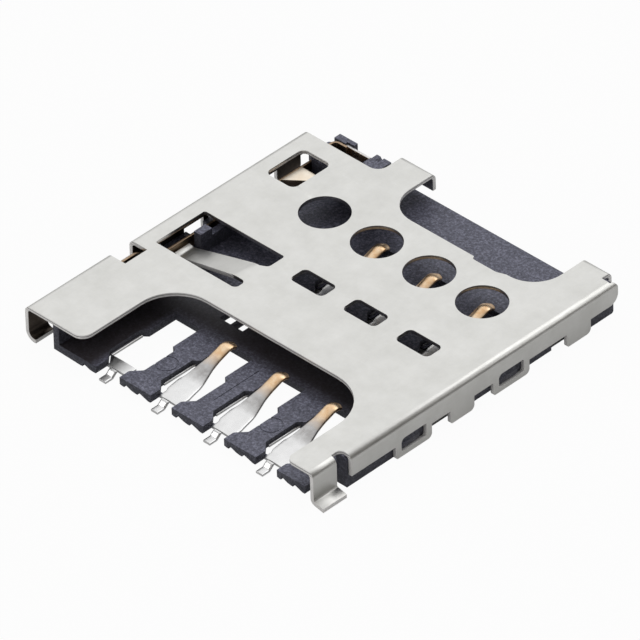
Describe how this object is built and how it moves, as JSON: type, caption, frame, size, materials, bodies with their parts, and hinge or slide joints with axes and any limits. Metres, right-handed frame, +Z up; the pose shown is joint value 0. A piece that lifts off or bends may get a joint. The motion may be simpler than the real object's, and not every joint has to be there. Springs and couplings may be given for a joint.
{
  "type": "sim card socket",
  "caption": "Low-profile push-in micro-SIM card socket with folded steel shell, black housing, sprung contacts and a card switch",
  "frame": {"origin": "middle of the overall footprint on the board plane, at the base of the socket", "axes": "+Z up from the board, +Y from the card entry to the rear stop, +X from the switch side to the plain side"},
  "size_m": [0.0144, 0.0152, 0.0014],
  "materials": {
    "stainless": "satin cold-rolled stainless sheet with bright punched edges",
    "moulded_black": "fine-grained black liquid-crystal polymer",
    "contact_metal": "tin and gold plated copper alloy strip, gold at the contact tips",
    "spring_bronze": "plain phosphor bronze strip"
  },
  "bodies": {
    "base": {"housing": "moulded_black", "shell": "stainless", "front_terminal": "contact_metal", "switch_terminal": "contact_metal"},
    "sprung_front_1": {"contact_front_1": "contact_metal"},
    "sprung_front_2": {"contact_front_2": "contact_metal"},
    "sprung_front_3": {"contact_front_3": "contact_metal"},
    "sprung_rear_1": {"contact_rear_1": "contact_metal"},
    "sprung_rear_2": {"contact_rear_2": "contact_metal"},
    "sprung_rear_3": {"contact_rear_3": "contact_metal"},
    "switch_arm": {"switch_spring": "spring_bronze"}
  },
  "joints": [
    {"name": "press_front_1", "type": "hinge", "parent": "base", "child": "sprung_front_1", "pos_m": [-0.00092, -0.00713, 0.0001], "axis": [-1, 0, 0], "range_deg": [0, 6.5], "stiffness_Nm_per_rad": 0.0113},
    {"name": "press_front_2", "type": "hinge", "parent": "base", "child": "sprung_front_2", "pos_m": [0.00162, -0.00713, 0.0001], "axis": [-1, 0, 0], "range_deg": [0, 6.5], "stiffness_Nm_per_rad": 0.0113},
    {"name": "press_front_3", "type": "hinge", "parent": "base", "child": "sprung_front_3", "pos_m": [0.00416, -0.00713, 0.0001], "axis": [-1, 0, 0], "range_deg": [0, 6.5], "stiffness_Nm_per_rad": 0.0113},
    {"name": "press_rear_1", "type": "hinge", "parent": "base", "child": "sprung_rear_1", "pos_m": [-0.00092, 0.00049, 0.0001], "axis": [-1, 0, 0], "range_deg": [0, 6.5], "stiffness_Nm_per_rad": 0.0113},
    {"name": "press_rear_2", "type": "hinge", "parent": "base", "child": "sprung_rear_2", "pos_m": [0.00162, 0.00049, 0.0001], "axis": [-1, 0, 0], "range_deg": [0, 6.5], "stiffness_Nm_per_rad": 0.0113},
    {"name": "press_rear_3", "type": "hinge", "parent": "base", "child": "sprung_rear_3", "pos_m": [0.00416, 0.00049, 0.0001], "axis": [-1, 0, 0], "range_deg": [0, 6.5], "stiffness_Nm_per_rad": 0.0113},
    {"name": "switch_push", "type": "hinge", "parent": "base", "child": "switch_arm", "pos_m": [-0.00675, -0.00466, 0.00084], "axis": [0, 0, 1], "range_deg": [0, 2.1], "stiffness_Nm_per_rad": 0.06}
  ]
}
